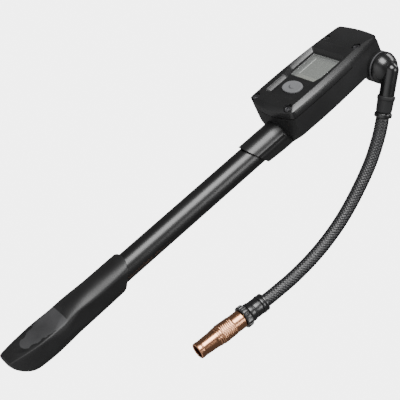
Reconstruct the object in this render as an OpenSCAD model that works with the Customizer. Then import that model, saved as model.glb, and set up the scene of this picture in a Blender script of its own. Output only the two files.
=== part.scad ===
// Digital shock pump with a swivelling braided hose and a knurled valve chuck.
// The barrel runs along Z with the gauge head on top. The display faces -Y and the
// hose leaves on the +X side. The origin is on the barrel's axis, halfway up its exposed part.

/* [Barrel] */
// Outside diameter of the barrel
barrel_d = 15; // [14.6:0.1:15.2]
// Bore of the barrel
bore_d = 11; // [10.9:0.1:11.1]
// Depth of the barrel's open end below the origin
barrel_drop = 86; // [84:1:87]

/* [Handle] */
// Radius of the grip at its swell
grip_r = 10.5; // [10.2:0.1:10.8]
// Depth of the grip's tip below the origin
grip_drop = 132.2; // [131.8:0.1:132.6]

/* [Gauge head] */
// Half of the head's greatest width
head_half = 20.1; // [19.8:0.1:20.6]
// Height of the head's near end above the origin
head_low = 74.1; // [73.8:0.1:74.4]
// Height of the head's far end above the origin
head_high = 154.9; // [154.5:0.1:155.5]
// Distance from the barrel's axis to the display face
face_y = 21; // [20.8:0.1:21.4]
// Wall thickness of both shells
wall = 1.8; // [1.6:0.1:2]

/* [Hose and chuck] */
// Outside diameter of the hose
hose_d = 8.4; // [8:0.1:8.6]
// Height of the swivel axis above the origin
swivel_z = 147.2; // [146.8:0.1:147.6]
// Radius of the valve thread in the chuck's nose
valve_r = 3.85; // [3.8:0.05:3.95]

/* [Hidden] */
$fn = 64;
eps = 0.01;

barrel_r = barrel_d / 2;
bore_r = bore_d / 2;
barrel_top = 90;
rod_r = 3;
running = 0.05;
collar_r = 9;
spigot_low = 72.5;

// Layers of the gauge, measured towards the display as negative y
edge_y = -19;
seam_y = -14.2;
jog_y = -15.7;
jog_z = 128;
floor_y = -18.5;
cover_in_y = -17.2;
side_low_y = -1.4;
hull_r = 10.25;
boss_r = 9.8;
board_y = -10;

near_r = 49.7;
far_r = 76;
side_r = 400;
widest_z = 96;
chamfer_w = 2.9;

// Half width of the grip between its flat sides, at each height
grip_side = [
    [9.45, -40], [9.45, -86], [10.1, -91], [10.75, -96], [10.9, -101], [10.45, -108],
    [9.75, -116], [8.9, -122], [7.7, -127], [6.4, -132.2]
];

manifold_screw_x = 10;
manifold_screw_z = [96, 134];
screw_places = [[-15, 79.6], [15, 79.6], [-13.4, 139.2], [13.4, 139.2]];
button_z = 96.4;
button_half = [7.5, 5.1];
bleed_z = 118;
bleed_y = -5.2;
chuck_place = [27, 65.6, -11.2];
chuck_tilt = 8.25;
outlet_x = 27;
outlet_tilt = 126.87;

// ---- shared shapes ----

// A cylinder along +Z from z0 to z1
module rod_z(z0, z1, r) {
    translate([0, 0, z0]) cylinder(r = r, h = z1 - z0);
}

// A cylinder along +X from x0 to x1 at the height and depth given
module rod_x(x0, x1, r, y = 0, z = 0) {
    translate([x0, y, z]) rotate([0, 90, 0]) cylinder(r = r, h = x1 - x0);
}

// A cylinder along +Y from y0 to y1
module rod_y(y0, y1, r, x = 0, z = 0) {
    translate([x, y0, z]) rotate([-90, 0, 0]) cylinder(r = r, h = y1 - y0);
}

module tube_z(z0, z1, outer, inner) {
    difference() {
        rod_z(z0, z1, outer);
        rod_z(z0 - 1, z1 + 1, inner);
    }
}

module block(low, high) {
    translate(low) cube(high - low);
}

// A round ring of section radius wire about the Z axis
module ring_z(z, radius, wire) {
    translate([0, 0, z]) rotate_extrude() translate([radius, 0]) circle(r = wire, $fn = 32);
}

// A flat shape drawn in x and z, filled from y0 to y1
module plate_y(y0, y1) {
    translate([0, y1, 0]) rotate([90, 0, 0]) linear_extrude(height = y1 - y0) children();
}

// Plan of the head in x and z: four wide arcs, moved inwards by inset
module head_plan(inset = 0) {
    intersection() {
        translate([0, head_low + near_r]) circle(r = near_r - inset, $fn = 180);
        translate([0, head_high - far_r]) circle(r = far_r - inset, $fn = 220);
        translate([head_half - side_r, widest_z]) circle(r = side_r - inset, $fn = 720);
        translate([side_r - head_half, widest_z]) circle(r = side_r - inset, $fn = 720);
    }
}

// A coil spring along +Z, made as one tube with flat ends left open
module coil(z0, z1, radius, wire, turns) {
    steps = turns * 12;
    sides = 6;
    span = z1 - z0 - 2 * wire;
    points = [
        for (i = [0:steps]) for (k = [0:sides - 1])
            let (a = 360 * i / 12, b = 360 * k / sides, r = radius + wire * cos(b))
                [r * cos(a), r * sin(a), z0 + wire + span * i / steps + wire * sin(b)]
    ];
    walls = [
        for (i = [0:steps - 1]) for (k = [0:sides - 1])
            let (a = i * sides + k, b = i * sides + (k + 1) % sides)
                [a, b, b + sides, a + sides]
    ];
    first = [for (k = [0:sides - 1]) sides - 1 - k];
    last = [for (k = [0:sides - 1]) steps * sides + k];
    polyhedron(points = points, faces = concat(walls, [first, last]), convexity = 4);
}

// The chuck's own frame: +Z runs towards the nose, with 0 at the flange ring
module on_chuck() {
    translate(chuck_place) rotate([180 - chuck_tilt, 0, 0]) children();
}

// The elbow outlet's own frame: +Z runs down the outlet from the swivel axis
module on_outlet() {
    translate([outlet_x, 0, swivel_z]) rotate([-outlet_tilt, 0, 0]) children();
}

// ---- barrel and rod ----

module barrel() color("#1b1b1d") tube_z(-barrel_drop, barrel_top, barrel_r, bore_r);

module rod_bushing() color("#8a6a35") difference() {
    union() {
        rod_z(-barrel_drop - 2, -barrel_drop, barrel_r);
        rod_z(-barrel_drop, -barrel_drop + 8, bore_r - 0.02);
    }
    rod_z(-barrel_drop - 3, -barrel_drop + 9, rod_r + running);
}

module barrel_seal() color("#111111") ring_z(80, 4.55, 0.9);

module barrel_collar() color("#232325") difference() {
    union() {
        rod_z(40, 84, collar_r);
        // flat-sided web that ends against the sloping underside of the head
        difference() {
            intersection() {
                rod_z(40, head_low + 5, 10.2);
                block([-8.9, -3, 40], [8.9, 12, head_low + 5]);
                translate([0, 9.2, 84]) rotate([-9, 0, 0]) block([-20, -40, -60], [20, 0, 10]);
            }
            translate([0, side_low_y, head_low - 0.05]) rotate([23.2, 0, 0])
                block([-20, -30, 0], [20, 30, 20]);
        }
    }
    rod_z(30, 90, barrel_r + 0.01);
    // slanted lower end
    translate([0, 0, 54]) rotate([30, 0, 0]) block([-30, -30, -40], [30, 30, 0]);
}

module piston_rod() color("#c9ccd0") difference() {
    rod_z(-110, 65, rod_r);
    // neck that the insert is crimped into
    tube_z(-104, -102, 4, 2.6);
}

module piston() color("#d8d8d8") difference() {
    rod_z(62, 71, bore_r - 0.1);
    rod_z(61, 65.05, rod_r + 0.01);
    tube_z(65.8, 68.2, bore_r + 1, 3.2);
}

module piston_seal() color("#141414") ring_z(67, 4.35, 1.1);

module rod_bumper() color("#1a1a1a") tube_z(58, 61.9, 5.2, rod_r + 0.02);

module rod_insert() color("#b08d4a") difference() {
    rod_z(-112, -98, 4.58);
    rod_z(-110.01, -97, rod_r + 0.01);
    for (z = [-109, -105, -101]) tube_z(z - 0.4, z + 0.4, 5, 4.2);
}

// Outer form of the grip: a turned body with two flat sides, a slanted mouth,
// a dished thumb rest and a tip that rounds up towards the back
module grip_form() {
    intersection() {
        rotate_extrude() polygon([
            [0, -grip_drop], [grip_r - 0.1, -grip_drop], [grip_r + 0.4, -118],
            [grip_r + 0.7, -104], [grip_r + 0.4, -96], [grip_r, -90], [grip_r - 0.2, -80],
            [grip_r - 0.4, -66], [grip_r - 0.7, -55], [grip_r - 1.2, -44], [0, -44]
        ]);
        plate_y(-20, 20) polygon(concat(
            [for (p = grip_side) [p[0], p[1]]],
            [for (i = [len(grip_side) - 1:-1:0]) [-grip_side[i][0], grip_side[i][1]]]
        ));
        union() {
            block([-20, -20, -119], [20, 20, -40]);
            rod_x(-20, 20, 12.9, -6.4, 12.9 - grip_drop);
            block([-20, -20, -grip_drop], [20, -6.4, -118]);
        }
    }
}

module handle() color("#2b2b2d") difference() {
    grip_form();
    translate([0, 0, -52.3]) rotate([-34.2, 0, 0]) block([-30, -30, 0], [30, 30, 40]);
    translate([0, -66.3, -106]) sphere(r = 60, $fn = 160);
    rod_z(-barrel_drop - 2.4, -30, barrel_r + 0.35);
    rod_z(-112, -80, 4.6);
}

// ---- gauge head ----

// The housing outside the seam, before it is hollowed
module housing_form() {
    hull() {
        plate_y(seam_y, side_low_y) head_plan();
        intersection() {
            rod_z(head_low + 5, swivel_z + 4.8, hull_r);
            plate_y(-20, 20) head_plan(0.4);
        }
    }
}

module housing_hollow() {
    hull() {
        plate_y(seam_y - 2, side_low_y) head_plan(wall);
        rod_z(head_low + 8, swivel_z - 3, hull_r - wall);
    }
}

module housing() color("#1f1f21") difference() {
    union() {
        difference() {
            union() {
                housing_form();
                plate_y(jog_y, seam_y) intersection() {
                    head_plan();
                    translate([-30, jog_z]) square([60, 40]);
                }
                rod_x(13, 19, boss_r, 0, swivel_z);
            }
            housing_hollow();
        }
        // inner lip under the gasket
        plate_y(seam_y, seam_y + 1) difference() {
            head_plan(wall - 0.1);
            head_plan(wall + 1.2);
        }
        // pillars that take the cover screws and the manifold screws
        intersection() {
            union() {
                for (p = screw_places) rod_y(seam_y, 6, 2.6, p[0], p[1]);
                for (z = manifold_screw_z) for (s = [-1, 1])
                    rod_y(1.1, 9, 1.75, s * manifold_screw_x, z);
            }
            plate_y(-20, 20) head_plan(0.5);
            housing_form();
        }
    }
    for (p = screw_places) rod_y(seam_y - 2, -5, 1.3, p[0], p[1]);
    for (z = manifold_screw_z) for (s = [-1, 1]) rod_y(0, 3.6, 0.9, s * manifold_screw_x, z);
    rod_z(60, 86, collar_r + 0.02);
    rod_x(-6.3, 15, 5.1, 0, swivel_z);
    rod_x(14.45, 25, 6.05, 0, swivel_z);
    rod_x(-25, -10, 3.3, bleed_y, bleed_z);
}

// The recess round the display and the button: top and floor outlines of one part
module recess_part(top, bottom) {
    hull() {
        plate_y(-face_y - 0.6, -face_y - 0.5) polygon(top);
        plate_y(floor_y - 0.01, floor_y) polygon(bottom);
    }
}

module recess() {
    recess_part(
        [[-12.4, 85.8], [12.4, 85.8], [12.4, 103], [-12.4, 103]],
        [[-11, 87.2], [11, 87.2], [11, 103], [-11, 103]]);
    recess_part(
        [[-12.4, 102], [12.4, 102], [14.8, 108], [14.8, 128.6], [-14.8, 128.6], [-14.8, 108]],
        [[-11, 102.4], [11, 102.4], [13.4, 108], [13.4, 127.2], [-13.4, 127.2], [-13.4, 108]]);
}

// Long round shape of the power button, from its half width and half height
module oval(half) {
    reach = half[0] - half[1];
    translate([0, button_z]) union() {
        for (s = [-1, 1]) translate([s * reach, 0]) circle(r = half[1]);
        square([2 * reach, 2 * half[1]], center = true);
    }
}

// The cover's outside: a side wall, a chamfered rim and a face that falls at its far end
module cover_form() {
    intersection() {
        hull() {
            plate_y(edge_y, seam_y) head_plan();
            plate_y(-face_y, -face_y + 0.1) head_plan(chamfer_w);
        }
        union() {
            block([-30, -face_y, 60], [30, 0, 132]);
            rod_x(-30, 30, 115, 115 - face_y, 130);
        }
    }
}

module gauge_cover() color("#262628") difference() {
    cover_form();
    difference() {
        plate_y(cover_in_y, seam_y + 1) head_plan(wall - 0.2);
        for (p = screw_places) rod_y(-20, seam_y - 1.05, 3, p[0], p[1]);
    }
    plate_y(jog_y, seam_y + 1) intersection() {
        head_plan(-1);
        translate([-30, jog_z]) square([60, 40]);
    }
    recess();
    for (p = screw_places) {
        rod_y(-25, -18.4, 2.7, p[0], p[1]);
        rod_y(-25, -10, 1.35, p[0], p[1]);
    }
    block([-11.4, -20, 105.2], [11.4, -16, 126.4]);
    plate_y(-20, -16) oval(button_half + [0.3, 0.3]);
}

module cover_gasket() color("#101010") difference() {
    plate_y(seam_y - 1, seam_y) union() {
        difference() {
            head_plan(wall + 0.05);
            head_plan(wall + 1.1);
        }
        intersection() {
            head_plan(wall + 0.05);
            for (p = screw_places) translate(p) circle(r = 2.8);
        }
    }
    for (p = screw_places) rod_y(-20, 0, 1.35, p[0], p[1]);
}

module cover_screws() color("#77787a") for (p = screw_places) {
    rod_y(-18.4, -6, 1.2, p[0], p[1]);
    difference() {
        rod_y(-19.7, -18.4, 2.2, p[0], p[1]);
        block([p[0] - 1.3, -20, p[1] - 0.3], [p[0] + 1.3, -19.1, p[1] + 0.3]);
        block([p[0] - 0.3, -20, p[1] - 1.3], [p[0] + 0.3, -19.1, p[1] + 1.3]);
    }
}

module lens() color("#aab0ab") union() {
    block([-11.3, -18.4, 105.3], [11.3, -17.2, 126.3]);
    block([-12.6, -17.2, 104], [12.6, -16.6, 127.6]);
}

module display_frame() color("#161616") difference() {
    block([-12.6, -16.6, 104], [12.6, board_y - 1, 127.6]);
    block([-10.4, -17, 106.2], [10.4, -15.6, 125.4]);
    block([-11.6, -15.6, 105], [11.6, board_y, 126.6]);
}

module display_panel() color("#7d8478") block([-11.5, -15.6, 105.1], [11.5, -13.4, 126.5]);

module circuit_board() color("#1c5a36") difference() {
    block([-13.2, board_y - 1, 84], [13.2, board_y, 131]);
    for (s = [-1, 1]) rod_y(board_y - 2, board_y + 1, 1.1, s * 11.2, 86.5);
}

module coin_battery() color("#c4c6c8") union() {
    rod_y(-9.6, -7, 10, 0, 101.2);
    rod_y(-7, -6.4, 9, 0, 101.2);
}

module battery_clip() color("#c9b27a") union() {
    block([-12.4, board_y, 97], [-10.2, -6.4, 105]);
    block([10.2, board_y, 97], [12.4, -6.4, 105]);
    block([-4, board_y, 98], [4, -9.6, 104]);
}

module switch_dome() color("#d2d3d4") difference() {
    rod_y(board_y - 1.9, board_y - 1, 3.2, 0, button_z);
    rod_y(board_y - 1.6, board_y, 2.6, 0, button_z);
}

module pressure_sensor() color("#4c4f55") union() {
    rod_y(board_y, -7.8, 3.4, 0, bleed_z);
    rod_y(-7.8, -6.2, 1.4, 0, bleed_z);
}

module sensor_seal() color("#141414") translate([0, -7.25, bleed_z]) rotate([90, 0, 0])
    ring_z(0, 1.85, 0.42);

module power_button() color("#a9abad") union() {
    plate_y(-19.1, -16.9) oval(button_half);
    plate_y(-16.9, -16.3) oval(button_half + [1.2, 1.2]);
    rod_y(-16.3, board_y - 2.8, 1.5, 0, button_z);
}

// ---- air path ----

module air_manifold() color("#8f9296") difference() {
    union() {
        rod_z(spigot_low, 84.2, bore_r - 0.03);
        intersection() {
            rod_z(84.2, 143, 8.2);
            block([-10, -6, 84], [10, 10, 143]);
        }
        rod_x(-6, 14.4, 4.9, 0, swivel_z);
        rod_x(-12.5, 4, 2.5, bleed_y, bleed_z);
        rod_y(-7.7, -2, 3, 0, bleed_z);
        for (z = manifold_screw_z) block([-12, -0.4, z - 2.4], [12, 1, z + 2.4]);
    }
    tube_z(84, 90.02, barrel_r + 0.02, bore_r - 0.03);
    rod_z(spigot_low - 1, 75, 1.2);
    rod_z(75, 86, 2.25);
    rod_z(85, swivel_z, 1.4);
    tube_z(79, 81, bore_r + 1, 3.6);
    rod_x(-1, 15, 3.35, 0, swivel_z);
    // bleed seat and chamber, and the sensor's port
    rod_x(-13, -5, 1.05, bleed_y, bleed_z);
    rod_x(-5, 1.5, 1.6, bleed_y, bleed_z);
    rod_y(-8, 0, 1.45, 0, bleed_z);
    rod_y(-8, -6.8, 2.32, 0, bleed_z);
    for (z = manifold_screw_z) for (s = [-1, 1]) rod_y(-1, 2, 1, s * manifold_screw_x, z);
}

module manifold_screws() color("#77787a") for (z = manifold_screw_z) for (s = [-1, 1]) {
    rod_y(-0.4, 3.4, 0.85, s * manifold_screw_x, z);
    rod_y(-1.8, -0.4, 1.6, s * manifold_screw_x, z);
}

module check_ball() color("#d9dadc") translate([0, 0, 76.52]) sphere(r = 1.9);

module check_spring() color("#bfc1c4") coil(78.46, 85.96, 1.5, 0.25, 5);

module bleed_button() color("#9a9ca0") union() {
    rod_x(-21.4, -17.1, 3, bleed_y, bleed_z);
    rod_x(-17.1, -16.5, 3.9, bleed_y, bleed_z);
}

module bleed_poppet() color("#b08d4a") union() {
    rod_x(-16.5, -4.9, 0.85, bleed_y, bleed_z);
    rod_x(-4.9, -3.7, 1.4, bleed_y, bleed_z);
}

module bleed_spring() color("#bfc1c4") translate([-16.45, bleed_y, bleed_z]) rotate([0, 90, 0])
    coil(0, 3.9, 1.6, 0.25, 4);

// ---- swivel ----

module swivel_stem() color("#9a9da1") difference() {
    union() {
        rod_x(4, 15, 3.3, 0, swivel_z);
        rod_x(14.5, 24.5, 3.9, 0, swivel_z);
        rod_x(14.5, 16.5, 6, 0, swivel_z);
    }
    rod_x(-1, 26, 1.6, 0, swivel_z);
    translate([21.1, 0, swivel_z]) rotate([0, 90, 0]) tube_z(-0.6, 0.6, 6, 3);
    translate([22.8, 0, swivel_z]) rotate([0, 90, 0]) tube_z(-0.4, 0.4, 6, 3.3);
}

module swivel_seal() color("#141414") translate([21.1, 0, swivel_z]) rotate([0, 90, 0])
    ring_z(0, 3.5, 0.48);

module swivel_clip() color("#c4c6c8") translate([22.8, 0, swivel_z]) rotate([0, 90, 0])
    tube_z(-0.35, 0.35, 4.6, 3.32);

module swivel_ring() color("#b5b7ba") translate([0, 0, swivel_z]) rotate([0, 90, 0])
    tube_z(19, 19.8, 9.9, 8.6);

module elbow() color("#1d1d1f") difference() {
    union() {
        // cap: a short rim and a ball-shaped front
        translate([0, 0, swivel_z]) rotate([0, 90, 0]) rotate_extrude() union() {
            translate([0, 20.1]) square([9.9, 1.1]);
            intersection() {
                translate([0, 18.5]) circle(r = 10.1, $fn = 96);
                translate([0, 21.1]) square([12, 12]);
            }
        }
        // outlet: a tube with a ball end
        on_outlet() rotate_extrude() union() {
            intersection() {
                circle(r = 4.7);
                translate([0, -6]) square([6, 6.5]);
            }
            square([4.7, 15.5]);
            square([2.6, 26]);
        }
    }
    rod_x(19, 25, 3.98, 0, swivel_z);
    rod_x(24, 28.4, 2.2, 0, swivel_z);
    translate([22.8, 0, swivel_z]) rotate([0, 90, 0]) tube_z(-0.6, 0.6, 4.8, 3);
    on_outlet() rod_z(0.3, 30, 1.5);
}

module hose_sleeve() color("#29292b") on_outlet() {
    rotate_extrude() polygon([
        [2.62, 15.52], [4.9, 15.52], [5.5, 16.1], [5.5, 17.5], [5.2, 18.1], [4.9, 25],
        [4.6, 25.6], [4.6, 26], [2.62, 26]
    ]);
}

module upper_ferrule() color("#2e2e30") on_outlet() difference() {
    rotate_extrude() polygon([
        [0, 26.02], [4.8, 26.02], [5.3, 26.6], [5.4, 27.5], [5.3, 28.4], [4.8, 29], [0, 29]
    ]);
    rod_z(25, 30, 1.5);
}

// ---- hose ----

// Centre line of the hose in y and z, from the ferrule to the chuck
route = [
    [23.2, 129.8], [30, 124.5], [36, 118.7], [42, 112], [48, 103.5], [53, 95], [58, 85.5],
    [62.5, 75], [65.8, 64.5], [68.1, 54], [69.4, 44], [69.9, 35], [69.9, 26],
    [69.3, 17.5], [68.7, 10], [68, 5.1]
];

function last_of(list) = list[len(list) - 1];
// Directions of the route at its two ends
first_way = [cos(outlet_tilt - 90), -sin(outlet_tilt - 90)];
last_way = [-sin(chuck_tilt), -cos(chuck_tilt)];

function way(i) =
    i == 0 ? first_way
    : i == len(route) - 1 ? last_way
    : (route[i + 1] - route[i - 1]) / norm(route[i + 1] - route[i - 1]);

// A point and a direction on the smooth curve between route points i and i + 1
function between(i, t) =
    let (a = route[i], b = route[i + 1], s = norm(b - a), u = way(i) * s, v = way(i + 1) * s)
        (2 * t ^ 3 - 3 * t ^ 2 + 1) * a + (t ^ 3 - 2 * t ^ 2 + t) * u
        + (3 * t ^ 2 - 2 * t ^ 3) * b + (t ^ 3 - t ^ 2) * v;

module hose() color("#1a1a1c") {
    sides = 12;
    spots = concat([for (i = [0:len(route) - 2]) for (t = [0, 0.5]) between(i, t)], [last_of(route)]);
    count = len(spots);
    ways = [
        for (i = [0:count - 1])
            i == 0 ? first_way
            : i == count - 1 ? last_way
            : (spots[i + 1] - spots[i - 1]) / norm(spots[i + 1] - spots[i - 1])
    ];
    points = [
        for (i = [0:count - 1]) for (k = [0:sides - 1])
            let (a = 360 * k / sides, off = hose_d / 2 * sin(a))
                [
                    outlet_x + hose_d / 2 * cos(a),
                    spots[i][0] + off * ways[i][1],
                    spots[i][1] - off * ways[i][0]
                ]
    ];
    walls = [
        for (i = [0:count - 2]) for (k = [0:sides - 1])
            let (a = i * sides + k, b = i * sides + (k + 1) % sides)
                [a, b, b + sides, a + sides]
    ];
    first = [for (k = [0:sides - 1]) sides - 1 - k];
    end = [for (k = [0:sides - 1]) (count - 1) * sides + k];
    polyhedron(points = points, faces = concat(walls, [first, end]), convexity = 4);
}

// ---- chuck ----

module lower_ferrule() color("#2e2e30") on_chuck() rotate_extrude() polygon([
    [3.05, -16.47], [5.3, -16.47], [5.7, -16], [5.7, -14.9], [5.2, -14.6], [5.2, -14.2],
    [5.8, -13.8], [5.8, -12.7], [5.4, -12.3], [3.05, -12.3]
]);

module chuck_collar() color("#202022") on_chuck() rotate_extrude() polygon([
    [3.05, -12.28], [5.2, -12.28], [5.6, -11.8], [5.6, -7.4], [5.3, -7], [5.3, -6.6],
    [5.9, -6.2], [6, -3.6], [5.6, -3.1], [3.05, -3.1]
]);

module chuck_core() color("#a88a4e") on_chuck() difference() {
    union() {
        rod_z(-16.47, -3.05, 3);
        rod_z(-3.05, 22, 4);
    }
    rod_z(-17, 23, 1.35);
    // slot for the pin's cross key, and the groove for the retaining clip
    block([-6, -0.7, -2.5], [6, 0.7, 1.1]);
    tube_z(12, 13, 8, 3.4);
}

module chuck_clip() color("#c4c6c8") on_chuck() tube_z(12.05, 12.95, 4.5, 3.42);

module flange_ring() color("#1c1c1e") on_chuck() difference() {
    rotate_extrude() polygon([
        [4.06, -2.8], [6.6, -2.8], [7.1, -2.3], [7.1, 0.8], [6.6, 1.3], [4.06, 1.3]
    ]);
    tube_z(-2.5, 1, 5.5, 1);
}

module chuck_sleeve() color("#c0764a") on_chuck() difference() {
    union() {
        rotate_extrude() polygon([
            [3, 1.6], [5.4, 1.6], [5.7, 1.9], [5.7, 9], [5.9, 9.3], [6.2, 18.2], [5.9, 18.6],
            [5.9, 20.6], [5.6, 21], [5.6, 22], [5.35, 23.4], [5, 31.6], [4.85, 32.2], [5.1, 32.8],
            [5.1, 34.9], [4.8, 35.3], [3, 35.3]
        ]);
    }
    rod_z(1, 24.3, 4.06);
    rod_z(11.9, 13.1, 4.6);
    rod_z(24.2, 36, valve_r);
}

module valve_seal() color("#151515") on_chuck() tube_z(22.02, 24, 3.95, 1.45);

module depressor_pin() color("#b9bbbe") on_chuck() union() {
    rod_z(-4, 24, 1.25);
    rod_x(-5, 5, 0.6, 0, -1.8);
}

barrel();
rod_bushing();
barrel_seal();
barrel_collar();
piston_rod();
piston();
piston_seal();
rod_bumper();
rod_insert();
handle();
housing();
gauge_cover();
cover_gasket();
cover_screws();
lens();
display_frame();
display_panel();
circuit_board();
coin_battery();
battery_clip();
switch_dome();
pressure_sensor();
sensor_seal();
power_button();
air_manifold();
manifold_screws();
check_ball();
check_spring();
bleed_button();
bleed_poppet();
bleed_spring();
swivel_stem();
swivel_seal();
swivel_clip();
swivel_ring();
elbow();
hose_sleeve();
upper_ferrule();
hose();
lower_ferrule();
chuck_collar();
chuck_core();
chuck_clip();
flange_ring();
chuck_sleeve();
valve_seal();
depressor_pin();
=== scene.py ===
import math

import bmesh
import bpy
import numpy as np
from mathutils import Matrix, Vector


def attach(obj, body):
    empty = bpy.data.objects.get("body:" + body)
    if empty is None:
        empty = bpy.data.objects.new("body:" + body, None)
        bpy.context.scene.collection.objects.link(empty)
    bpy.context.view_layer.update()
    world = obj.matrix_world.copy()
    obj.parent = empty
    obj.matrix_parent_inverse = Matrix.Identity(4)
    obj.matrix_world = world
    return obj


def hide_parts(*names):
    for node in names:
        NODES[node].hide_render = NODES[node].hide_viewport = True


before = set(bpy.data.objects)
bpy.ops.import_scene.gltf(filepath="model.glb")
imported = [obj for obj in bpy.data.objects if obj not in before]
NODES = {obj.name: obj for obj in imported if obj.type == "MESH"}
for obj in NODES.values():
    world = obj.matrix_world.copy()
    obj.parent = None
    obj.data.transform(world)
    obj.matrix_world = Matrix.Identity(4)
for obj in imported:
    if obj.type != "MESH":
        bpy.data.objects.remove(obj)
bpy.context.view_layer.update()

MM = 0.001

# Sizes shared with the CAD model, in millimetres
SWIVEL_Z = 147.2
OUTLET_X = 27.0
CHUCK_LEAN = 8.25
HOSE_D = 8.4
GRIP_DEPTH = 132.2
GRIP_BORE = 7.85
DISPLAY = (-11.5, 105.1, 11.5, 126.5)
KEY_Z = 96.4

# Frames of the pieces that are turned on an axis: local Z runs along the axis
CHUCK = (Matrix.Translation((OUTLET_X, 65.6, -11.2))
         @ Matrix.Rotation(math.radians(180 - CHUCK_LEAN), 4, "X"))
OUTLET = (Matrix.Translation((OUTLET_X, 0, SWIVEL_Z))
          @ Matrix.Rotation(math.radians(-126.87), 4, "X"))
UPRIGHT = Matrix.Identity(4)

# Camera, from a fit of the barrel, head and hose
LENS_MM = 88.65
CAMERA_AT = (434.5, -334.6, -147.9)
TOWARDS_CAMERA = (0.7615, -0.5853, -0.278)
CAMERA_RIGHT = (0.5675, 0.396, 0.722)

# The backdrop is bright to the camera and dim to everything else
BACKDROP = 5.0
ROOM = 0.16
FLOOR_Z, FLOOR_R = -0.42, 3.2


# ---------------------------------------------------------------- camera and stage

def make_camera():
    data = bpy.data.cameras.new("camera")
    data.lens = LENS_MM
    data.sensor_width = 36
    data.clip_start, data.clip_end = 0.01, 50
    cam = bpy.data.objects.new("camera", data)
    bpy.context.scene.collection.objects.link(cam)
    back = Vector(TOWARDS_CAMERA).normalized()
    right = Vector(CAMERA_RIGHT)
    right = (right - right.dot(back) * back).normalized()
    turn = Matrix((right, back.cross(right), back)).transposed().to_4x4()
    cam.matrix_world = Matrix.Translation(Vector(CAMERA_AT) * MM) @ turn
    bpy.context.scene.camera = cam
    return right, back.cross(right), back


RIGHT, UP, BACK = make_camera()


def area_light(name, towards, distance, size, power, aim=(0, 0, 0.02)):
    """A soft box in the direction given, turned to face the pump."""
    data = bpy.data.lights.new(name, "AREA")
    data.shape = "RECTANGLE"
    data.size, data.size_y = size
    data.energy = power
    box = bpy.data.objects.new(name, data)
    bpy.context.scene.collection.objects.link(box)
    towards = Vector(towards).normalized()
    box.location = Vector(aim) + towards * distance
    box.rotation_mode = "QUATERNION"
    box.rotation_quaternion = towards.to_track_quat("Z", "Y")
    return box


def make_stage():
    world = bpy.data.worlds.new("studio")
    bpy.context.scene.world = world
    world.use_nodes = True
    tree = world.node_tree
    room = tree.nodes["Background"]
    room.inputs["Color"].default_value = (1, 1, 1, 1)
    room.inputs["Strength"].default_value = ROOM
    sweep = tree.nodes.new("ShaderNodeBackground")
    sweep.inputs["Color"].default_value = (1, 1, 1, 1)
    sweep.inputs["Strength"].default_value = BACKDROP
    rays = tree.nodes.new("ShaderNodeLightPath")
    mix = tree.nodes.new("ShaderNodeMixShader")
    tree.links.new(rays.outputs["Is Camera Ray"], mix.inputs[0])
    tree.links.new(room.outputs[0], mix.inputs[1])
    tree.links.new(sweep.outputs[0], mix.inputs[2])
    tree.links.new(mix.outputs[0], tree.nodes["World Output"].inputs["Surface"])
    mesh = bpy.data.meshes.new("floor")
    count = 96
    ring = [(FLOOR_R * math.cos(a), FLOOR_R * math.sin(a), FLOOR_Z)
            for a in (2 * math.pi * k / count for k in range(count))]
    mesh.from_pydata(ring, [], [list(range(count))])
    floor = bpy.data.objects.new("floor", mesh)
    bpy.context.scene.collection.objects.link(floor)
    return floor


# ---------------------------------------------------------------- materials

def new_material(name):
    mat = bpy.data.materials.new(name)
    mat.use_nodes = True
    tree = mat.node_tree
    return mat, tree, tree.nodes["Principled BSDF"]


def link(tree, source, target):
    tree.links.new(source, target)


def noise(tree, scale, detail=2.0, stretch=(1, 1, 1), turn=(0, 0, 0)):
    where = tree.nodes.new("ShaderNodeTexCoord")
    mapping = tree.nodes.new("ShaderNodeMapping")
    mapping.inputs["Scale"].default_value = stretch
    mapping.inputs["Rotation"].default_value = turn
    tex = tree.nodes.new("ShaderNodeTexNoise")
    tex.inputs["Scale"].default_value = scale
    tex.inputs["Detail"].default_value = detail
    link(tree, where.outputs["Object"], mapping.inputs["Vector"])
    link(tree, mapping.outputs["Vector"], tex.inputs["Vector"])
    return tex.outputs["Fac"]


def between(tree, value, low, high):
    """The value, from about 0.3 to 0.7, spread over low to high."""
    node = tree.nodes.new("ShaderNodeMapRange")
    node.inputs["From Min"].default_value = 0.3
    node.inputs["From Max"].default_value = 0.7
    node.inputs["To Min"].default_value = low
    node.inputs["To Max"].default_value = high
    link(tree, value, node.inputs["Value"])
    return node.outputs["Result"]


def two_tone(tree, value, dark, light):
    ramp = tree.nodes.new("ShaderNodeValToRGB")
    ramp.color_ramp.elements[0].position = 0.35
    ramp.color_ramp.elements[0].color = (*dark, 1)
    ramp.color_ramp.elements[1].position = 0.65
    ramp.color_ramp.elements[1].color = (*light, 1)
    link(tree, value, ramp.inputs["Fac"])
    return ramp.outputs["Color"]


def relief(tree, value, height, strength=1.0, normal=None):
    """Bump of that height in millimetres, on top of another normal if one is given."""
    bump = tree.nodes.new("ShaderNodeBump")
    bump.inputs["Distance"].default_value = height * MM
    bump.inputs["Strength"].default_value = strength
    link(tree, value, bump.inputs["Height"])
    if normal is not None:
        link(tree, normal, bump.inputs["Normal"])
    return bump.outputs["Normal"]


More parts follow.
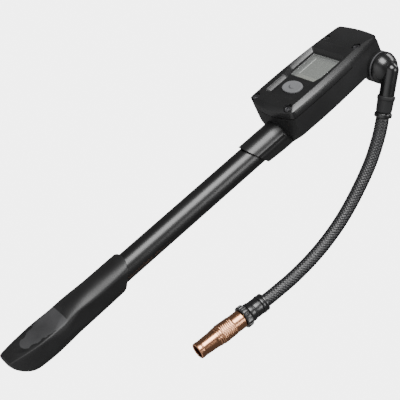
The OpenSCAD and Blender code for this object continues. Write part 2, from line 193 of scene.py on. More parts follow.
def surface(name, color, rough, vary=0.15, metallic=0.0, specular=0.5, grain=(1.2, 0.02),
            cloud=45.0, spread=0.06, stretch=(1, 1, 1), turn=(0, 0, 0)):
    """A finish with broad, faint clouds in colour and gloss, and fine grain in relief.
    grain is the size of the grain and its height, in millimetres."""
    mat, tree, shader = new_material(name)
    clouds = noise(tree, cloud, 3.0)
    fine = noise(tree, 1000.0 / grain[0], 2.0, stretch, turn)
    dark = tuple(c * (1 - vary) for c in color)
    light = tuple(min(1.0, c * (1 + vary)) for c in color)
    link(tree, two_tone(tree, clouds, dark, light), shader.inputs["Base Color"])
    gloss = between(tree, clouds, rough - spread / 2, rough + spread / 2)
    link(tree, gloss, shader.inputs["Roughness"])
    link(tree, relief(tree, fine, grain[1]), shader.inputs["Normal"])
    shader.inputs["Metallic"].default_value = metallic
    shader.inputs["Specular IOR Level"].default_value = specular
    return mat


def grey(v):
    """A grey that is a touch cooler than neutral."""
    return (v, v, v * 1.04)


# Turns the lathe marks of the copper nut to its axis
CHUCK_TURN = (math.radians(CHUCK_LEAN - 180), 0, 0)

M = {
    "anodised": surface("anodised", grey(0.005), 0.34, specular=0.6, grain=(0.6, 0.0008),
                        stretch=(1, 1, 0.2), spread=0.03),
    "collar": surface("collar_anodised", grey(0.006), 0.34, specular=0.6, grain=(0.5, 0.001)),
    "shell": surface("shell_plastic", grey(0.011), 0.42, specular=0.32, grain=(0.45, 0.018)),
    "cover": surface("cover_plastic", grey(0.010), 0.27, specular=0.5, grain=(0.5, 0.003)),
    "grip": surface("grip_plastic", grey(0.010), 0.42, specular=0.42, grain=(0.7, 0.035), vary=0.2),
    # painted light: the thumb rest's grey is four times lighter than the grip's, standing in for the
    # brighter shading of the facet that faces the light; it is also a little rougher and coarser in
    # grain
    "rest": surface("grip_rest_painted_light", grey(0.042), 0.5, specular=0.4, grain=(0.7, 0.06), vary=0.25),
    "gloss": surface("gloss_black", grey(0.005), 0.26, specular=0.6, grain=(2.0, 0.003)),
    "rubber": surface("rubber", grey(0.014), 0.55, specular=0.35, grain=(0.5, 0.02)),
    "ferrule": surface("black_ferrule", grey(0.007), 0.28, specular=0.7, grain=(0.6, 0.006)),
    "ring": surface("ring_grey", grey(0.10), 0.4, grain=(0.6, 0.01)),
    "button": surface("button_grey", (0.15, 0.152, 0.158), 0.42, grain=(0.5, 0.012), vary=0.06),
    "mark": surface("button_dark_arc", grey(0.06), 0.5, grain=(0.5, 0.01)),
    "frame": surface("frame_plastic", grey(0.012), 0.35, grain=(0.5, 0.01)),
    "lcd": surface("lcd_panel", (0.030, 0.034, 0.027), 0.3, grain=(3.0, 0.002), vary=0.1, cloud=90),
    "lcd_strip": surface("lcd_strip", (0.085, 0.088, 0.068), 0.3, grain=(3.0, 0.002), vary=0.05),
    "lcd_edge": surface("lcd_edge", (0.40, 0.41, 0.39), 0.25, grain=(3.0, 0.002), vary=0.05),
    "board": surface("solder_mask", (0.02, 0.12, 0.05), 0.35, grain=(2.0, 0.01)),
    "steel": surface("turned_steel", grey(0.55), 0.28, metallic=1.0, grain=(0.5, 0.008),
                     stretch=(0.1, 0.1, 1)),
    "screw": surface("screw_steel", grey(0.30), 0.30, metallic=1.0, grain=(0.4, 0.008)),
    "cast": surface("cast_alloy", grey(0.45), 0.5, metallic=1.0, grain=(0.8, 0.03)),
    "brass": surface("turned_brass", (0.70, 0.50, 0.22), 0.28, metallic=1.0, grain=(0.5, 0.008)),
    "spring": surface("spring_wire", grey(0.50), 0.25, metallic=1.0, grain=(0.4, 0.006)),
    "copper": surface("copper_anodised", (0.56, 0.28, 0.16), 0.22, metallic=1.0, vary=0.05,
                      grain=(0.35, 0.004), stretch=(0.02, 0.02, 1), turn=CHUCK_TURN, spread=0.08),
}


def make_lens_material():
    mat, tree, shader = new_material("clear_lens")
    haze = noise(tree, 300.0, 2.0)
    link(tree, between(tree, haze, 0.03, 0.09), shader.inputs["Roughness"])
    shader.inputs["Base Color"].default_value = (0.8, 0.83, 0.8, 1)
    shader.inputs["Alpha"].default_value = 0.10
    shader.inputs["Specular IOR Level"].default_value = 0.5
    return mat


RIBS_PER_YARN = 10.0


def make_braid_material():
    """Braided yarns: their crowns and ribs are worked out from the tube's UV map, in strands
    around and crossings along. The crowns are painted lighter and the gaps darker, as painted
    highlight and painted shade."""
    mat, tree, shader = new_material("braid")
    uv = tree.nodes.new("ShaderNodeTexCoord")
    split = tree.nodes.new("ShaderNodeSeparateXYZ")
    link(tree, uv.outputs["UV"], split.inputs["Vector"])

    def math_node(kind, a, b=None):
        node = tree.nodes.new("ShaderNodeMath")
        node.operation = kind
        for slot, value in zip((0, 1), (a, b)):
            if isinstance(value, (int, float)):
                node.inputs[slot].default_value = value
            elif value is not None:
                link(tree, value, node.inputs[slot])
        return node.outputs[0]

    around, along = split.outputs["X"], split.outputs["Y"]
    first = math_node("MULTIPLY", math_node("ADD", around, along), math.pi)
    second = math_node("MULTIPLY", math_node("SUBTRACT", around, along), math.pi)
    crown = math_node("MULTIPLY", math_node("ABSOLUTE", math_node("SINE", first)),
                      math_node("ABSOLUTE", math_node("SINE", second)))
    ribs = math_node("SINE", math_node("MULTIPLY", first, RIBS_PER_YARN))
    fuzz = noise(tree, 2500.0, 2.0)
    # painted light: the colour follows the crown, near black in the gaps between yarns (painted shade)
    # and a lighter grey on their tops (painted highlight)
    ramp = tree.nodes.new("ShaderNodeValToRGB")
    ramp.color_ramp.elements[0].position = 0.25
    ramp.color_ramp.elements[0].color = (0.002, 0.002, 0.0025, 1)
    ramp.color_ramp.elements[1].position = 0.95
    ramp.color_ramp.elements[1].color = (0.030, 0.030, 0.033, 1)
    link(tree, crown, ramp.inputs["Fac"])
    link(tree, ramp.outputs["Color"], shader.inputs["Base Color"])
    yarn = relief(tree, ribs, 0.02, 0.6)
    link(tree, relief(tree, fuzz, 0.02, 0.8, yarn), shader.inputs["Normal"])
    link(tree, between(tree, fuzz, 0.26, 0.4), shader.inputs["Roughness"])
    shader.inputs["Specular IOR Level"].default_value = 0.75
    return mat


M["lens"] = make_lens_material()
M["braid"] = make_braid_material()
M["floor"] = surface("pale_floor", (0.85, 0.85, 0.85), 0.6, vary=0.01, grain=(4.0, 0.02), cloud=3.0)


# ---------------------------------------------------------------- mesh helpers

def add_piece(name, verts, faces, body, slot, mat, replaces=(), place=UPRIGHT, angle=38):
    """One closed piece from points in millimetres, placed, shaded and riding on its body."""
    mesh = bpy.data.meshes.new(name)
    points = [tuple(place @ Vector(v) * MM) for v in verts]
    mesh.from_pydata(points, [], [list(map(int, f)) for f in faces])
    piece = bpy.data.objects.new(name, mesh)
    bpy.context.scene.collection.objects.link(piece)
    clean(piece)
    shade(piece, angle)
    if mat is not None:
        mesh.materials.append(M[mat])
    if body:
        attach(piece, body)
        if replaces:
            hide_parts(*replaces)
    return piece


def clean(piece):
    """Joins points in the same place, and turns all faces outwards."""
    work = bmesh.new()
    work.from_mesh(piece.data)
    bmesh.ops.remove_doubles(work, verts=work.verts, dist=1e-7)
    bmesh.ops.recalc_face_normals(work, faces=work.faces)
    work.to_mesh(piece.data)
    work.free()


def shade(piece, angle):
    """Smooth shading, with edges sharper than the angle, in degrees, kept crisp."""
    for p in piece.data.polygons:
        p.use_smooth = True
    piece.data.set_sharp_from_angle(angle=math.radians(angle))


def skin(rings, closed=False, caps=True):
    """Faces between rings of the same count; a closed skin joins the last ring to the first."""
    count, size = len(rings), len(rings[0])
    verts = [tuple(p) for ring in rings for p in ring]
    faces = []
    last = count if closed else count - 1
    for i in range(last):
        a, b = i * size, ((i + 1) % count) * size
        for k in range(size):
            n = (k + 1) % size
            faces.append((a + k, a + n, b + n, b + k))
    if caps and not closed:
        faces.append(tuple(reversed(range(size))))
        faces.append(tuple(range((count - 1) * size, count * size)))
    return verts, faces


def soften(points, radius, steps=3):
    """Rounds the corners of a closed outline."""
    points = [np.array(p, float) for p in points]
    made = []
    for i, p in enumerate(points):
        u, v = points[i - 1] - p, points[(i + 1) % len(points)] - p
        lu, lv = np.linalg.norm(u), np.linalg.norm(v)
        back = min(radius, 0.45 * lu, 0.45 * lv)
        a, b = p + u / lu * back, p + v / lv * back
        for k in range(steps + 1):
            t = k / steps
            made.append((1 - t) ** 2 * a + 2 * t * (1 - t) * p + t * t * b)
    return made


def refine(points, step):
    """Splits the long sides of a closed outline."""
    made = []
    for i, p in enumerate(points):
        q = points[(i + 1) % len(points)]
        n = max(1, int(np.linalg.norm(np.array(q) - p) / step))
        made += [np.array(p) + (np.array(q) - p) * k / n for k in range(n)]
    return made


def turned(name, profile, place, body, slot, mat, replaces=(), round_by=0.2, seg=96, step=None,
           ripple=None, angle=38):
    """A turned piece: a closed outline of (radius, height) swept about the place's own Z.
    ripple(angle, height, radius) is added to the radius."""
    outline = soften(profile, round_by)
    if step:
        outline = refine(outline, step)
    rings = []
    for k in range(seg):
        a = 2 * math.pi * k / seg
        ring = []
        for r, s in outline:
            grow = ripple(a, s, r) if ripple else 0.0
            ring.append(((r + grow) * math.cos(a), (r + grow) * math.sin(a), s))
        rings.append(ring)
    verts, faces = skin(rings, closed=True)
    return add_piece(name, verts, faces, body, slot, mat, replaces, place, angle)


def smax(a, b, k):
    """The larger of the two, with the corner between them rounded over k."""
    h = np.clip(0.5 + 0.5 * (a - b) / k, 0, 1)
    return a * h + b * (1 - h) + k * h * (1 - h)


def curve(x, table):
    """A smooth curve through the table's points."""
    xs, ys = np.array(table, float).T
    slopes = np.gradient(ys, xs)
    x = np.clip(x, xs[0], xs[-1])
    i = np.clip(np.searchsorted(xs, x) - 1, 0, len(xs) - 2)
    w = xs[i + 1] - xs[i]
    t = (x - xs[i]) / w
    return ((2 * t**3 - 3 * t**2 + 1) * ys[i] + (t**3 - 2 * t**2 + t) * w * slopes[i]
            + (3 * t**2 - 2 * t**3) * ys[i + 1] + (t**3 - t**2) * w * slopes[i + 1])


def reach(inside, origin, ways, far):
    """How far each way leads from the origin before inside() turns positive."""
    low, high = np.zeros(len(ways)), np.full(len(ways), float(far))
    for _ in range(44):
        mid = (low + high) / 2
        out = inside(*(np.array(origin)[:, None] + ways.T * mid)) > 0
        high = np.where(out, mid, high)
        low = np.where(out, low, mid)
    return low


def carve(piece, cutters):
    """Boolean cuts, applied, and the cutters removed."""
    for cutter in cutters:
        mod = piece.modifiers.new("cut", "BOOLEAN")
        mod.operation = "DIFFERENCE"
        mod.solver = "EXACT"
        mod.object = cutter
    bake(piece)
    for cutter in cutters:
        mesh = cutter.data
        bpy.data.objects.remove(cutter)
        bpy.data.meshes.remove(mesh)


def bake(piece):
    """Turns the piece's modifiers into its mesh."""
    bpy.context.view_layer.update()
    graph = bpy.context.evaluated_depsgraph_get()
    made = bpy.data.meshes.new_from_object(piece.evaluated_get(graph))
    old = piece.data
    piece.modifiers.clear()
    piece.data = made
    bpy.data.meshes.remove(old)


def slab(outline, layers):
    """A plate from an outline in x and z: layers are (inset, y), inset towards the middle."""
    outline = np.array(outline, float)
    middle = (outline.min(0) + outline.max(0)) / 2
    half = (outline.max(0) - outline.min(0)) / 2
    rings = []
    for inset, y in layers:
        scaled = middle + (outline - middle) * (1 - inset / half)
        rings.append([(p[0], y, p[1]) for p in scaled])
    return skin(rings)


def box_outline(x0, z0, x1, z1, r):
    return soften([(x0, z0), (x1, z0), (x1, z1), (x0, z1)], r, 4)


# ---------------------------------------------------------------- hose

# The hose's centreline in y and z, from the upper ring to the lower one
ROUTE = np.array([
    (23.2, 129.8), (30, 124.5), (36, 118.7), (42, 112), (48, 103.5), (53, 95), (58, 85.5),
    (62.5, 75), (65.8, 64.5), (68.1, 54), (69.4, 44), (69.9, 35), (69.9, 26),
    (69.3, 17.5), (68.7, 10), (68, 5.1)])
FIRST_WAY = np.array([0.8, -0.6])
LAST_WAY = np.array([-math.sin(math.radians(CHUCK_LEAN)), -math.cos(math.radians(CHUCK_LEAN))])
STRANDS = 10
BRAID_PITCH = 1.9
BRAID_DEPTH = 0.34


def route_way(i):
    if i == 0:
        return FIRST_WAY
    if i == len(ROUTE) - 1:
        return LAST_WAY
    way = ROUTE[i + 1] - ROUTE[i - 1]
    return way / np.linalg.norm(way)


def route_points(per_span):
    """A smooth curve through the route, with that many points to a span."""
    made = []
    for i in range(len(ROUTE) - 1):
        a, b = ROUTE[i], ROUTE[i + 1]
        size = np.linalg.norm(b - a)
        u, v = route_way(i) * size, route_way(i + 1) * size
        for k in range(per_span):
            t = k / per_span
            made.append((2 * t**3 - 3 * t**2 + 1) * a + (t**3 - 2 * t**2 + t) * u
                        + (3 * t**2 - 2 * t**3) * b + (t**3 - t**2) * v)
    return np.array(made + [ROUTE[-1]])


def make_hose():
    """A tube along the route with the braid's crossings in relief. Each ring stands square
    to the route, which stays in the plane x = OUTLET_X."""
    fine = route_points(24)
    steps = np.r_[0, np.cumsum(np.linalg.norm(np.diff(fine, axis=0), axis=1))]
    length = steps[-1]
    rows, around = 432, 96
    s = np.linspace(0, length, rows)
    line = np.stack([np.interp(s, steps, fine[:, 0]), np.interp(s, steps, fine[:, 1])], 1)
    ways = np.gradient(line, s, axis=0)
    ways /= np.linalg.norm(ways, axis=1)[:, None]
    angle = 2 * np.pi * np.arange(around) / around
    rings, uvs = [], []
    for i in range(rows):
        u = STRANDS * angle / (2 * np.pi)
        v = s[i] / BRAID_PITCH
        crown = np.abs(np.sin(np.pi * (u + v)) * np.sin(np.pi * (u - v))) ** 0.6
        edge = min(1.0, s[i] / 1.5, (length - s[i]) / 1.5)
        r = HOSE_D / 2 - BRAID_DEPTH + BRAID_DEPTH * crown * edge
        off = r * np.sin(angle)
        rings.append(np.stack([OUTLET_X + r * np.cos(angle), line[i, 0] + off * ways[i, 1],
                               line[i, 1] - off * ways[i, 0]], 1))
        uvs.append(np.stack([np.append(u, STRANDS), np.full(around + 1, v)], 1))
    verts, faces = skin(rings)
    hose = add_piece("hose_braid", verts, faces, "hose_assembly", "braid", "braid", ["hose"],
                     angle=80)
    layer = hose.data.uv_layers.new(name="braid")
    for poly in hose.data.polygons:
        spots = [divmod(v, around) for v in poly.vertices]
        wraps = {k for _, k in spots} >= {0, around - 1}
        for corner, (i, k) in zip(poly.loop_indices, spots):
            layer.data[corner].uv = uvs[i][around if wraps and k == 0 else k]
    path = [(OUTLET_X * MM, p[0] * MM, p[1] * MM) for p in route_points(4)]
    return hose, path, length


# ---------------------------------------------------------------- grip

# Sizes of the grip by depth below the origin: the radius of its round body, half the width
# between its flat sides, the distance to its front and the radius of that front's crown,
# the distance to its back, and the thumb rest's depth and half width
GRIP_ROUND = [(44, 9.6), (55, 10.2), (66, 10.5), (80, 10.7), (90, 10.8), (100, 11.3), (108, 11.5),
              (118, 11.1), (132.2, 10.6)]
GRIP_SIDE = [(44, 9.3), (60, 9.43), (78, 9.43), (86, 9.5), (91, 10.1), (96, 10.75), (101, 10.9),
             (108, 10.45), (116, 9.75), (122, 8.9), (127, 7.7), (130, 6.8), (132.2, 5.9)]
GRIP_FRONT = [(44, 8.55), (70, 8.95), (84, 9.1), (90, 8.75), (96, 8.0), (102, 7.5), (108, 7.35),
              (114, 7.3), (122, 7.4), (132.2, 7.5)]
CROWN = [(44, 13), (84, 14), (96, 19), (104, 28), (132.2, 34)]
GRIP_BACK = [(44, 14), (108, 13), (116, 11.2), (120, 9.4), (123, 7.6), (126, 5.2), (129, 1.8),
             (131, -1.6), (132.2, -4.6)]
REST_FLOOR = [(44, 14), (80, 12), (88, 9.4), (93, 7.8), (99, 6.5), (105, 5.9), (112, 5.6),
              (118, 5.7), (124, 6.1), (132.2, 7)]
REST_SIDE = [(44, 11), (90, 10.2), (96, 9.9), (101, 9.3), (108, 8.1), (113, 7.1), (117, 5.9),
             (120, 4.4), (122, 2.6), (123.2, 0.2), (125, -4), (132.2, -12)]
# Where the upright rows of the grip end, where they start to lean back, and the tip's centre
GRIP_LEVEL = -68
GRIP_LEAN = -80
TIP_CENTRE = (0, -3, -113.6)


def grip(x, y, z):
    """Negative inside the grip: a round body with flat sides, a flattened front, a tip that
    curves up at the back, and a shallow thumb rest with a round lower end."""
    d = -z
    low = np.interp(d, [112, 126], [0.45, 2.6])
    form = smax(np.hypot(x, y) - curve(d, GRIP_ROUND), np.abs(x) - curve(d, GRIP_SIDE), low)
    crown = curve(d, CROWN)
    form = smax(form, np.hypot(x, y - crown + curve(d, GRIP_FRONT)) - crown, 0.5)
    form = smax(form, y - curve(d, GRIP_BACK), 3.2)
    form = smax(form, d - (GRIP_DEPTH - 0.05), 2.4)
    rest = smax(y + curve(d, REST_FLOOR), np.abs(x) - curve(d, REST_SIDE), 0.35)
    return smax(form, -rest, 0.3)


def mouth(y):
    """Height of the slanted mouth at y."""
    return -52.3 - 0.68 * y


def make_handle():
    """The grip as one skin of rings: up the bore, over the mouth, down the outside and
    round the tip. The thumb rest takes a lighter grey: painted light standing in for its brighter
    shading."""
    around = 208
    a = 2 * np.pi * np.arange(around) / around
    flat = np.stack([np.cos(a), np.sin(a), np.zeros(around)], 1)
    r = np.full(around, 9.5)
    for _ in range(8):
        z = mouth(r * flat[:, 1])
        r = reach(lambda x, y, zz: grip(x, y, z), (0, 0, 0), flat, 20)

    def row(z, shift):
        return reach(lambda x, y, zz: grip(x, y, z), (0, shift, 0), flat, 20)

    def ring(radius, z, shift=0.0):
        return np.stack([radius * flat[:, 0], shift + radius * flat[:, 1], z * np.ones(around)], 1)

    top = mouth(r * flat[:, 1])
    bore = np.full(around, GRIP_BORE)
    inner = mouth(bore * flat[:, 1])
    rings = [ring(bore, np.full(around, -88.3)), ring(bore, inner - 0.35),
             ring(bore + 0.12, inner - 0.1), ring(bore + 0.35, inner),
             ring(r - 0.4, top), ring(r - 0.12, top - 0.12)]
    for t in np.r_[0.02, np.linspace(0.05, 1, 22)]:
        z = top + (GRIP_LEVEL - top) * t
        rings.append(ring(row(z, 0), z))
    heights = np.r_[np.arange(GRIP_LEVEL - 0.6, -90, -0.75), np.arange(-90, -113.5, -0.4)]
    for z in heights:
        shift = TIP_CENTRE[1] * np.clip((GRIP_LEAN - z) / 30, 0, 1) ** 2
        rings.append(ring(row(np.full(around, z), shift), np.full(around, z), shift))
    for tilt in np.radians(np.linspace(1.2, 88.6, 84)):
        ways = np.stack([np.cos(tilt) * flat[:, 0], np.cos(tilt) * flat[:, 1],
                         np.full(around, -np.sin(tilt))], 1)
        far = reach(grip, TIP_CENTRE, ways, 30)
        rings.append(np.array(TIP_CENTRE) + ways * far[:, None])
    verts, faces = skin(rings)
    piece = add_piece("grip", verts, faces, "rod_assembly", "grip", "grip", ["handle"], angle=60)
    piece.data.materials.append(M["rest"])
    for poly in piece.data.polygons:
        x, y, z = poly.center / MM
        in_rest = abs(x) < curve(-z, REST_SIDE) - 0.1 and y > -curve(-z, REST_FLOOR) - 0.12
        # painted light: the front-facing faces in the thumb rest take the lighter grey
        if z < -93 and poly.normal.y < -0.6 and in_rest:
            poly.material_index = 1


# ---------------------------------------------------------------- gauge head

# The head's plan in x and z: arcs of these radii about these heights, the side arcs about
# points far to either side
NEAR_R, NEAR_Z = 49.7, 123.8
FAR_R, FAR_Z = 76, 78.9
SIDE_R, SIDE_X, SIDE_Z = 400, 379.9, 96
HEAD_MIDDLE = 114.5


def head_plan(inset, count=240):
    """The head's outline in x and z: four wide arcs with slightly rounded corners."""
    def inside(x, z, _):
        ends = np.maximum(np.hypot(x, z - NEAR_Z) - (NEAR_R - inset),
                          np.hypot(x, z - FAR_Z) - (FAR_R - inset))
        sides = np.maximum(np.hypot(x + SIDE_X, z - SIDE_Z), np.hypot(x - SIDE_X, z - SIDE_Z))
        return smax(ends, sides - (SIDE_R - inset), 1.1)
    a = 2 * np.pi * (np.arange(count) + 0.5) / count
    ways = np.stack([np.cos(a) * 0.55, np.sin(a), 0 * a], 1)
    ways /= np.linalg.norm(ways, axis=1)[:, None]
    far = reach(inside, (0, HEAD_MIDDLE, 0), ways, 70)
    return np.stack([ways[:, 0] * far, HEAD_MIDDLE + ways[:, 1] * far], 1)


def head_loft(layers):
    """A plate with the head's outline: layers are (inset, y)."""
    return skin([[(p[0], y, p[1]) for p in head_plan(inset)] for inset, y in layers])


def cutter(verts_faces):
    return add_piece("cutter", *verts_faces, None, None, None)


def keyhole(g):
    """The outline of the recess round key and display, wider by g."""
    return soften([(12.4 + g, 85.8 - g), (12.4 + g, 102.2 - g * 0.3), (14.8 + g, 108.2 - g * 0.3),
                   (14.8 + g, 128.6 + g), (-14.8 - g, 128.6 + g), (-14.8 - g, 108.2 - g * 0.3),
                   (-12.4 - g, 102.2 - g * 0.3), (-12.4 - g, 85.8 - g)], 1.3, 4)


def plate(layers):
    """Rings of outlines in x and z at each y."""
    return skin([[(p[0], y, p[1]) for p in outline] for outline, y in layers])


def oval(a, b, count=72, power=2.25):
    """The key's outline, a little squarer than an ellipse."""
    made = []
    for k in range(count):
        t = 2 * math.pi * k / count
        c, s = math.cos(t), math.sin(t)
        made.append((a * math.copysign(abs(c) ** (2 / power), c),
                     KEY_Z + b * math.copysign(abs(s) ** (2 / power), s)))
    return made


SCREWS = [(-15, 79.6), (15, 79.6), (-13.4, 139.2), (13.4, 139.2)]
# The cover's top falls away beyond FALL_Z on an arc of radius FALL_R
FALL_Z, FALL_R, FALL_Y = 130, 115, -21


def circle(x, z, r, count=36):
    return [(x + r * math.cos(2 * math.pi * k / count), z + r * math.sin(2 * math.pi * k / count))
            for k in range(count)]


def make_cover():
    """The cover: a plate with sloping edges, hollow below, with the recess, the two openings
    and the screw pockets cut out."""
    layers = [(0.4, -14.24), (0.0, -14.6), (0.0, -18.86), (0.06, -19.0), (0.2, -19.12),
              (2.72, -20.86), (2.95, -20.97), (3.2, -21.0)]
    cover = cutter(head_loft(layers))
    fall = [(-26, FALL_Z), (FALL_Y, FALL_Z)]
    for z in np.arange(FALL_Z + 1.5, 158, 1.5):
        fall.append((FALL_Y + FALL_R - math.sqrt(FALL_R**2 - (z - FALL_Z) ** 2), z))
    fall.append((-26, 158))
    fall_rings = [[(x, y, z) for y, z in fall] for x in (-30, 30)]
    cuts = [
        cutter(head_loft([(1.6, -17.2), (1.6, -14.0)])),
        cutter(skin(fall_rings)),
        cutter(slab([(-30, 128), (30, 128), (30, 160), (-30, 160)], [(0, -15.74), (0, -13)])),
        cutter(plate([(keyhole(0.75), -21.6), (keyhole(0.22), -21.0), (keyhole(0.0), -20.75),
                      (keyhole(-1.15), -18.75), (keyhole(-1.6), -18.5)])),
        cutter(plate([(box_outline(-11.75, 104.85, 11.75, 126.75, 0.9), -18.7),
                      (box_outline(-11.4, 105.2, 11.4, 126.4, 0.8), -18.3),
                      (box_outline(-11.4, 105.2, 11.4, 126.4, 0.8), -17)])),
        cutter(plate([(oval(8.2, 5.8), -18.7), (oval(7.8, 5.4), -18.3), (oval(7.8, 5.4), -17)])),
    ]
    for x, z in SCREWS:
        cuts.append(cutter(plate([(circle(x, z, 3.1), -22), (circle(x, z, 2.75), -20.4),
                                  (circle(x, z, 2.7), -18.5), (circle(x, z, 1.3), -18.4),
                                  (circle(x, z, 1.3), -16)])))
    carve(cover, cuts)
    cover.name = "head_cover"
    clean(cover)
    shade(cover, 34)
    cover.data.materials.append(M["cover"])
    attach(cover, "pump_body")
    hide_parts("gauge_cover")
    return cover


def make_display():
    """The panel, a lighter strip near its lower end and a light line by its left edge, and the window
    over it.
    """
    outline = box_outline(*DISPLAY, 0.5)
    add_piece("lcd_panel", *slab(outline, [(0.1, -13.4), (0, -13.5), (0, -15.5), (0.1, -15.6)]),
              "pump_body", "lcd", "lcd", ["display_panel"])
    strip = box_outline(-10.3, 106.3, 10.3, 109.9, 0.3)
    add_piece("lcd_strip", *slab(strip, [(0, -15.6), (0, -15.72), (0.08, -15.76)]),
              "pump_body", "lcd", "lcd_strip")
    edge = box_outline(-10.35, 110.2, -9.75, 125.2, 0.2)
    add_piece("lcd_edge", *slab(edge, [(0, -15.6), (0, -15.72), (0.05, -15.76)]),
              "pump_body", "lcd", "lcd_edge")
    outer = box_outline(-12.6, 104, 12.6, 127.6, 0.8)
    middle = box_outline(-11.3, 105.3, 11.3, 126.3, 0.8)
    inner = box_outline(-11.15, 105.45, 11.15, 126.15, 0.75)
    add_piece("window", *plate([(outer, -16.62), (outer, -17.15), (middle, -17.15),
                                (middle, -18.25), (inner, -18.4)]),
              "pump_body", "clear", "lens", ["lens"])


def make_button():
    """The key, dished on top, with its stem and flange, and a darker arc near the middle of its top.
    """
    layers = [(0.02, 0.02, -12.8), (1.4, 1.4, -12.8), (1.5, 1.5, -12.95), (1.5, 1.5, -16.3),
              (8.6, 6.2, -16.3), (8.7, 6.3, -16.4), (8.7, 6.3, -16.8), (7.5, 5.1, -16.9),
              (7.5, 5.1, -18.7),
              (7.42, 5.02, -18.92), (7.2, 4.8, -19.05), (6.8, 4.4, -19.1), (6.2, 3.9, -19.07),
              (5.2, 3.1, -18.97), (3.6, 2.1, -18.87), (1.8, 1.0, -18.82), (0.02, 0.02, -18.81)]
    rings = [[(x, y, z) for x, z in oval(a, b)] for a, b, y in layers]
    add_piece("power_key", *skin(rings), "power_key", "button_grey", "button", ["power_button"])
    rings = []
    mark_r = 2.7
    for k in range(33):
        t = k / 32
        a = math.radians(168 + 150 * t)
        half = 0.04 + 0.42 * math.sin(math.pi * t)
        corners = ((mark_r - half, -18.8), (mark_r - half, -18.96),
                   (mark_r + half, -18.96), (mark_r + half, -18.8))
        rings.append([(r * math.cos(a), y, 97.0 + 0.75 * r * math.sin(a)) for r, y in corners])
    add_piece("key_dark_arc", *skin(rings), "power_key", "button_grey", "mark")


# ---------------------------------------------------------------- swivel, hose ends and chuck

def make_hose_ends():
    """Sleeve and ring at the elbow, and ring and collar at the chuck, which are returned."""
    turned("sleeve", [(2.62, 15.52), (4.8, 15.52), (5.5, 15.8), (5.5, 17.6), (5.15, 18.1), (4.9, 24.9),
                      (4.55, 26), (2.62, 26)],
           OUTLET, "hose_assembly", "rubber", "rubber", ["hose_sleeve"], 0.35)
    turned("upper_ring", [(1.5, 26.02), (4.7, 26.02), (5.4, 26.4), (5.4, 28.5), (4.7, 29), (1.5, 29)],
           OUTLET, "hose_assembly", "dark_metal", "ferrule", ["upper_ferrule"], 0.4)
    lower = turned("lower_ring", [(3.05, -16.47), (5.2, -16.47), (5.75, -16.1), (5.75, -14.9),
                                  (5.15, -14.6), (5.15, -14.2), (5.85, -13.9), (5.85, -12.6),
                                  (5.4, -12.3), (3.05, -12.3)],
                   CHUCK, "hose_assembly", "dark_metal", "ferrule", ["lower_ferrule"], 0.22)
    collar = turned("hose_collar", [(3.05, -12.28), (5.1, -12.28), (5.6, -11.9), (5.6, -7.4),
                                    (5.25, -7.05), (5.25, -6.6), (5.9, -6.25), (6.0, -3.6),
                                    (5.6, -3.1), (3.05, -3.1)],
                    CHUCK, "hose_assembly", "dark_metal", "ferrule", ["chuck_collar"], 0.28)
    return lower, collar


def make_flange():
    """Knurled ring: groups of fine teeth with smooth lands between them."""
    groups, per_group, share = 10, 5, 0.58

    def teeth(a, s, r):
        if r < 5.7:
            return 0.0
        where = (a / (2 * math.pi) * groups) % 1.0
        if where > share:
            return -0.16 if 0.62 < where < 0.96 else 0.0
        return -0.22 * (0.5 - 0.5 * math.cos(2 * math.pi * where / share * per_group))
    profile = [(4.06, -2.8), (6.55, -2.8), (7.1, -2.25), (7.1, 0.75), (6.55, 1.3), (4.06, 1.3),
               (4.06, 1.0), (5.5, 1.0), (5.5, -2.5), (4.06, -2.5)]
    return turned("knurled_ring", profile, CHUCK, "press_ring", "dark_metal", "ferrule",
                  ["flange_ring"], 0.2, 500, None, teeth, 30)


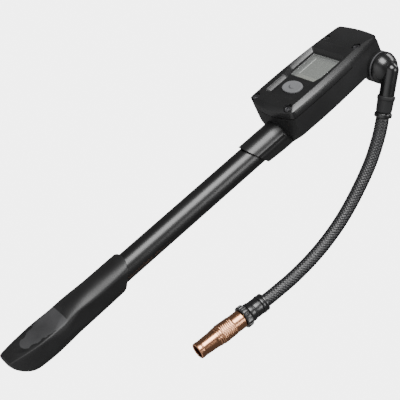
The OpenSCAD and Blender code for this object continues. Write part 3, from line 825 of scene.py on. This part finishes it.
def make_chuck():
    """Copper-coloured nut: a smooth band, a band of crossed knurling, two grooves and the nose."""
    start, end, pitch, teeth = 9.2, 18.3, 1.3, 56

    def knurl(a, s, r):
        if r < 5.6 or s < start or s > end:
            return 0.0
        rows = 0.5 - 0.5 * math.cos(2 * math.pi * (s - start) / pitch)
        cuts = 0.5 + 0.5 * math.cos(a * teeth)
        return -0.13 * (1 - rows) - 0.12 * cuts * rows
    profile = [(4.06, 1.6), (5.35, 1.6), (5.7, 1.95), (5.7, 8.9), (5.95, 9.25), (6.22, 18.2),
               (5.85, 18.6), (5.85, 19.4), (5.6, 19.6), (5.6, 19.95), (5.85, 20.15), (5.85, 20.9),
               (5.55, 21.1), (5.55, 22.1), (5.35, 23.4), (5.0, 31.6), (4.85, 32.2), (5.1, 32.8),
               (5.1, 34.9), (4.7, 35.28), (4.1, 35.28), (3.86, 35.0), (3.86, 22.1), (4.06, 22.1)]
    return turned("chuck_nut", profile, CHUCK, "chuck_nut", "copper", "copper", ["chuck_sleeve"],
                  0.16, 336, 0.16, knurl, 30)


# Finishes of the CAD nodes that are kept as they are
FINISHES = {
    "barrel": "anodised", "rod_bushing": "brass", "barrel_seal": "rubber",
    "barrel_collar": "collar", "piston_rod": "steel", "piston": "cast", "piston_seal": "rubber",
    "rod_bumper": "rubber", "rod_insert": "brass", "housing": "shell", "cover_gasket": "rubber",
    "cover_screws": "screw", "display_frame": "frame", "circuit_board": "board",
    "coin_battery": "steel", "battery_clip": "brass", "switch_dome": "steel",
    "pressure_sensor": "screw", "sensor_seal": "rubber", "air_manifold": "cast",
    "manifold_screws": "screw", "check_ball": "steel", "check_spring": "spring",
    "bleed_button": "button", "bleed_poppet": "brass", "bleed_spring": "spring",
    "swivel_stem": "steel", "swivel_seal": "rubber", "swivel_clip": "spring",
    "swivel_ring": "ring", "elbow": "gloss", "chuck_core": "brass", "chuck_clip": "spring",
    "valve_seal": "rubber", "depressor_pin": "steel",
}
# Width of the softened edges of the visible ones, in millimetres
EDGES = {"housing": 0.5, "barrel_collar": 0.3, "elbow": 0.2, "bleed_button": 0.25,
         "swivel_ring": 0.12}


def finish_nodes():
    for node, finish in FINISHES.items():
        mesh = NODES[node].data
        mesh.materials.clear()
        mesh.materials.append(M[finish])
    for node, width in EDGES.items():
        edge = NODES[node].modifiers.new("edge", "BEVEL")
        edge.width = width * MM
        edge.segments = 2
        edge.limit_method = "ANGLE"
        edge.angle_limit = math.radians(32)
        edge.use_clamp_overlap = True


# ---------------------------------------------------------------- build

make_stage().data.materials.append(M["floor"])
area_light("key", (0.45, -0.85, 0.28), 0.85, (0.55, 0.45), 12)
area_light("side", (0.88, 0.0, 0.47), 0.9, (0.35, 0.35), 3)
area_light("rim", RIGHT * 0.7 + UP * 0.7 - BACK * 0.1, 0.9, (0.5, 0.2), 3)

hose, path, hose_length = make_hose()
lower_ring, hose_collar = make_hose_ends()
knurled_ring = make_flange()
chuck_nut = make_chuck()
make_handle()
make_cover()
make_display()
make_button()
finish_nodes()
